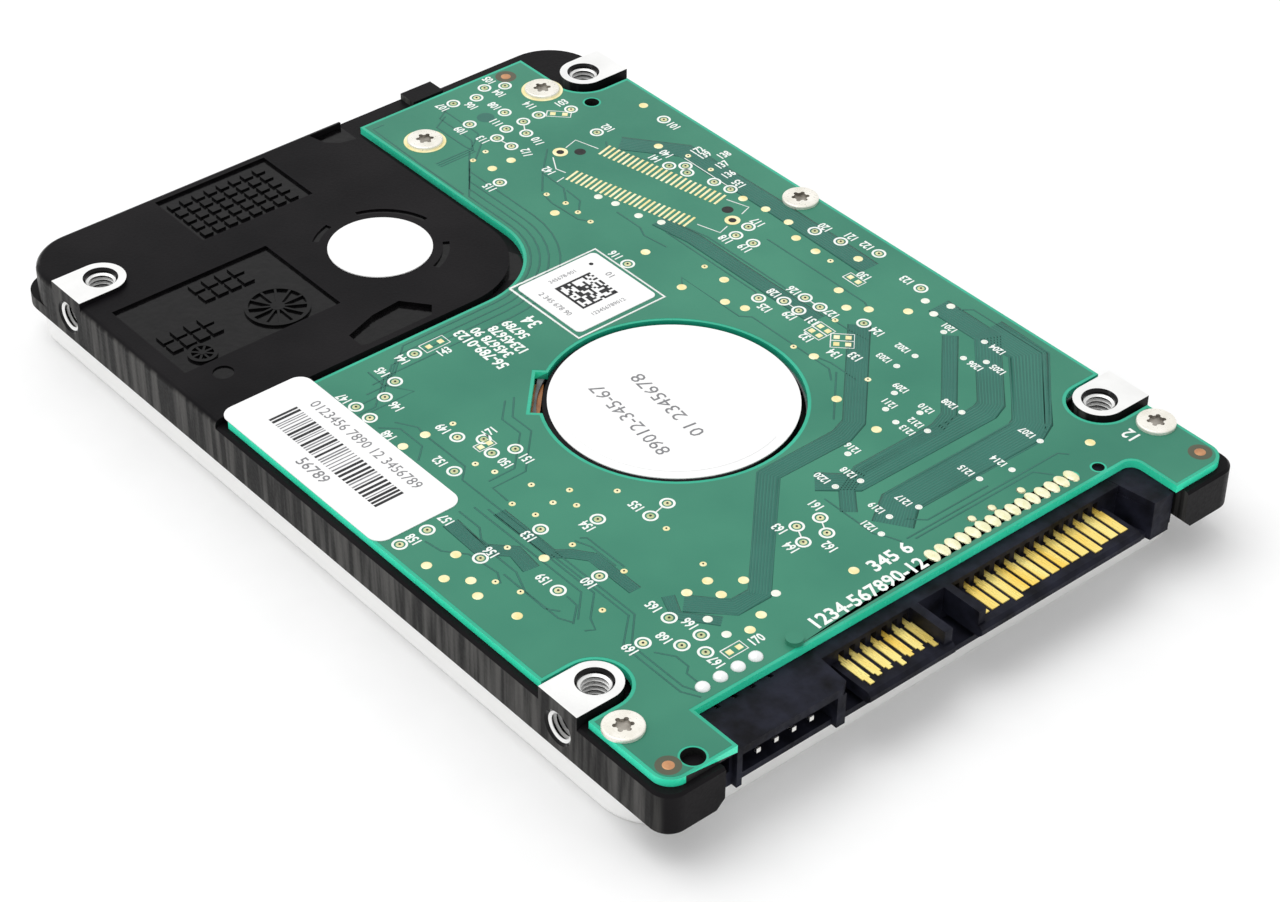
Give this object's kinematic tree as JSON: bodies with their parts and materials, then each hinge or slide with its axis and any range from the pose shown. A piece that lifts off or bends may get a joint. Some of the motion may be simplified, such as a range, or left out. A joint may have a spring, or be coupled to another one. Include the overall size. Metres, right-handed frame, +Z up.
{
  "type": "hard disk drive",
  "caption": "Flat 2.5-inch hard disk drive with a green circuit board on one face, an edge plug, a silver cover, spinning platters and a swinging head arm inside.",
  "frame": {"origin": "centre of the footprint, on the surface that the silver cover rests on", "axes": "+X along the length towards the connector, +Y across the width, +Z up, towards the circuit board"},
  "size_m": [0.1002, 0.0698, 0.0095],
  "materials": {
    "cast_black": "black painted aluminium die casting, satin",
    "cover_silver": "silver cover, satin",
    "gasket_rubber": "black foam rubber",
    "screw_nickel": "nickel plated steel",
    "label_white": "white label",
    "label_silver": "pale grey label",
    "solder_mask": "green solder mask on glass epoxy",
    "foam_grey": "grey foam sheet",
    "chip_black": "black moulded epoxy",
    "ceramic_tan": "tan ceramic capacitors",
    "connector_black": "black moulded liquid crystal polymer",
    "contact_gold": "gold plated contacts",
    "pin_tin": "tinned pins",
    "bright_aluminium": "machined aluminium",
    "disk_mirror": "polished magnetic disk",
    "steel_bare": "bare steel",
    "magnet_nickel": "nickel plated magnet",
    "lamination": "stacked electrical steel",
    "coil_copper": "enamelled copper wire",
    "flex_amber": "amber polyimide flexible circuit",
    "ramp_plastic": "ivory acetal",
    "frame_plastic": "black moulded plastic",
    "slider_ceramic": "dark ceramic sliders",
    "filter_white": "white filter felt"
  },
  "bodies": {
    "housing": {"base_casting": "cast_black", "top_cover": "cover_silver", "cover_gasket": "gasket_rubber", "cover_screws": "screw_nickel", "cover_label": "label_silver", "circuit_board": "solder_mask", "board_screws": "screw_nickel", "board_insulator": "foam_grey", "controller_chip": "chip_black", "memory_chip": "chip_black", "motor_driver_chip": "chip_black", "board_capacitors": "ceramic_tan", "head_connector": "connector_black", "plug_housing": "connector_black", "signal_contacts": "contact_gold", "power_contacts": "contact_gold", "jumper_pins": "pin_tin", "motor_label": "label_white", "pivot_seal_label": "label_white", "barcode_label": "label_white", "code_label": "label_white", "motor_bracket": "bright_aluminium", "bearing_sleeve": "steel_bare", "stator_core": "lamination", "stator_coils": "coil_copper", "motor_flex": "flex_amber", "motor_connector": "connector_black", "pivot_inner_races": "steel_bare", "pivot_shaft": "steel_bare", "pivot_screw": "screw_nickel", "lower_yoke": "magnet_nickel", "upper_yoke": "magnet_nickel", "yoke_magnets": "magnet_nickel", "yoke_posts": "steel_bare", "crash_stops": "gasket_rubber", "latch_pin": "steel_bare", "head_ramp": "ramp_plastic", "ramp_screw": "screw_nickel", "flex_bracket": "frame_plastic", "flex_cable": "flex_amber", "recirculation_filter": "filter_white", "breather_filter": "filter_white"},
    "spindle": {"spindle_hub": "bright_aluminium", "magnet_ring": "magnet_nickel", "spindle_shaft": "steel_bare", "lower_platter": "disk_mirror", "upper_platter": "disk_mirror", "spacer_ring": "bright_aluminium", "disk_clamp": "bright_aluminium", "clamp_screws": "screw_nickel"},
    "actuator": {"arm_carriage": "bright_aluminium", "pivot_sleeve": "steel_bare", "pivot_outer_races": "steel_bare", "pivot_balls": "steel_bare", "suspensions": "steel_bare", "head_sliders": "slider_ceramic", "coil_frame": "frame_plastic", "voice_coil": "coil_copper", "preamplifier": "flex_amber"},
    "latch": {"inertial_latch": "frame_plastic"}
  },
  "joints": [
    {"name": "spindle_spin", "type": "hinge", "parent": "housing", "child": "spindle", "pos_m": [0.0101, 0, 0.0037], "axis": [0, 0, 1], "continuous": true},
    {"name": "actuator_swing", "type": "hinge", "parent": "housing", "child": "actuator", "pos_m": [-0.0278, -0.006, 0.0037], "axis": [0, 0, -1], "range_deg": [0, 34.2], "deforming": ["flex_cable"]},
    {"name": "latch_turn", "type": "hinge", "parent": "housing", "child": "latch", "pos_m": [-0.02838, -0.02829, 0.0043], "axis": [0, 0, -1], "range_deg": [0, 8]}
  ]
}
